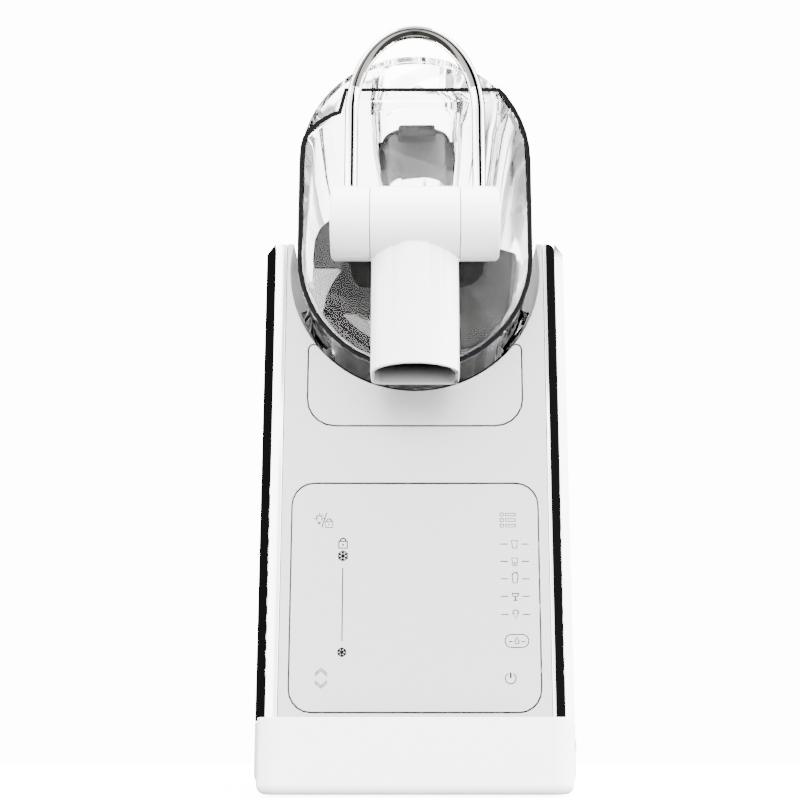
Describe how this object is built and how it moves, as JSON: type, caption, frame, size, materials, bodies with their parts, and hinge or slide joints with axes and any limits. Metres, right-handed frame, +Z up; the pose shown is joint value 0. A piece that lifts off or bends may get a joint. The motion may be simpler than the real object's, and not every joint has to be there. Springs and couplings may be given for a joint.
{
  "type": "frozen drink and ice cream maker",
  "caption": "Countertop ice cream and frozen drink maker: clear vessel round a chilled drum and turning auger, tap with a hoop handle, touch panel, drip tray.",
  "frame": {"origin": "on the counter, under the middle of the overall box", "axes": "+Z up, +Y to the back, +X to the right as seen from the front"},
  "size_m": [0.1917, 0.4, 0.452],
  "materials": {
    "gloss_white": "glossy moulded plastic",
    "satin_silver": "satin silver",
    "chrome": "polished",
    "mirror_steel": "polished sheet",
    "clear_plastic": "clear polished plastic",
    "dark_grey": "moulded, slightly textured",
    "mid_grey": "moulded",
    "light_grey": "moulded",
    "black_plastic": "moulded",
    "rubber": "matte",
    "steel": "brushed",
    "aluminium": "bare",
    "copper": "drawn copper tube",
    "black_paint": "semi-gloss paint",
    "circuit_board": "solder mask"
  },
  "bodies": {
    "housing": {"base_pan": "gloss_white", "front_left_foot": "rubber", "front_right_foot": "rubber", "rear_left_foot": "rubber", "rear_right_foot": "rubber", "front_panel": "satin_silver", "control_panel": "satin_silver", "control_board": "circuit_board", "left_trim": "chrome", "right_trim": "chrome", "left_side_panel": "mirror_steel", "right_side_panel": "mirror_steel", "cradle_cover": "light_grey", "cradle_liner": "black_plastic", "bulkhead": "gloss_white", "rear_tower": "gloss_white", "rear_cover": "gloss_white", "power_board": "circuit_board", "power_inlet": "black_plastic", "switch_housing": "black_plastic", "compressor_plate": "steel", "compressor": "black_paint", "condenser": "aluminium", "drier_filter": "copper", "discharge_pipe": "copper", "suction_pipe": "copper", "liquid_line": "copper", "fan_frame": "black_plastic", "evaporator_drum": "steel", "evaporator_coil": "copper", "front_bushing": "light_grey", "rear_bearing": "steel", "gearbox_housing": "dark_grey", "gear_motor": "steel"},
    "auger_drive": {"drive_shaft": "steel", "drive_gear": "light_grey", "auger_paddle": "dark_grey", "auger_blade": "light_grey"},
    "pinion": {"motor_pinion": "steel"},
    "fan": {"fan_rotor": "black_plastic"},
    "rocker": {"rocker_switch": "mid_grey"},
    "vessel_unit": {"vessel": "clear_plastic", "vessel_gasket": "rubber", "valve_body": "gloss_white", "valve_seal": "rubber", "lid_hinge_pin": "steel"},
    "lid_unit": {"lid": "clear_plastic"},
    "hatch": {"fill_hatch": "mid_grey"},
    "lever": {"valve_rotor": "dark_grey", "left_valve_cap": "gloss_white", "right_valve_cap": "gloss_white", "valve_spring": "steel", "handle": "chrome"},
    "tray": {"drip_tray": "gloss_white"},
    "grid": {"drip_grid": "steel"},
    "catch": {"condensate_cover": "satin_silver", "condensate_tray": "black_plastic"}
  },
  "joints": [
    {"name": "auger_spin", "type": "hinge", "parent": "housing", "child": "auger_drive", "pos_m": [0, 0, 0.316], "axis": [0, 1, 0], "continuous": true},
    {"name": "pinion_spin", "type": "hinge", "parent": "housing", "child": "pinion", "pos_m": [0, 0, 0.355], "axis": [0, 1, 0], "continuous": true},
    {"name": "fan_spin", "type": "hinge", "parent": "housing", "child": "fan", "pos_m": [0, 0.0137, 0.12], "axis": [0, 1, 0], "continuous": true},
    {"name": "switch_rock", "type": "hinge", "parent": "housing", "child": "rocker", "pos_m": [0.0905, -0.055, 0.02675], "axis": [0, 1, 0], "range_deg": [-6, 6]},
    {"name": "vessel_slide", "type": "slide", "parent": "housing", "child": "vessel_unit", "axis": [0, -1, 0], "range_m": [0, 0.235]},
    {"name": "lid_hinge", "type": "hinge", "parent": "vessel_unit", "child": "lid_unit", "pos_m": [0.05351, 0, 0.42818], "axis": [0, 1, 0], "range_deg": [0, 105]},
    {"name": "hatch_slide", "type": "slide", "parent": "lid_unit", "child": "hatch", "axis": [0, 1, 0], "range_m": [0, 0.07]},
    {"name": "lever_pull", "type": "hinge", "parent": "vessel_unit", "child": "lever", "pos_m": [0, -0.15, 0.324], "axis": [1, 0, 0], "range_deg": [0, 70], "stiffness_Nm_per_rad": 0.5, "springref_deg": -20.05},
    {"name": "tray_slide", "type": "slide", "parent": "housing", "child": "tray", "axis": [0, -1, 0], "range_m": [0, 0.11]},
    {"name": "grid_lift", "type": "slide", "parent": "tray", "child": "grid", "axis": [0, 0, 1], "range_m": [0, 0.03]},
    {"name": "catch_slide", "type": "slide", "parent": "housing", "child": "catch", "axis": [0, -1, 0], "range_m": [0, 0.028]}
  ],
  "couplings": [
    {"joint": "pinion_spin", "follows": "auger_spin", "ratio": -3.3333}
  ]
}
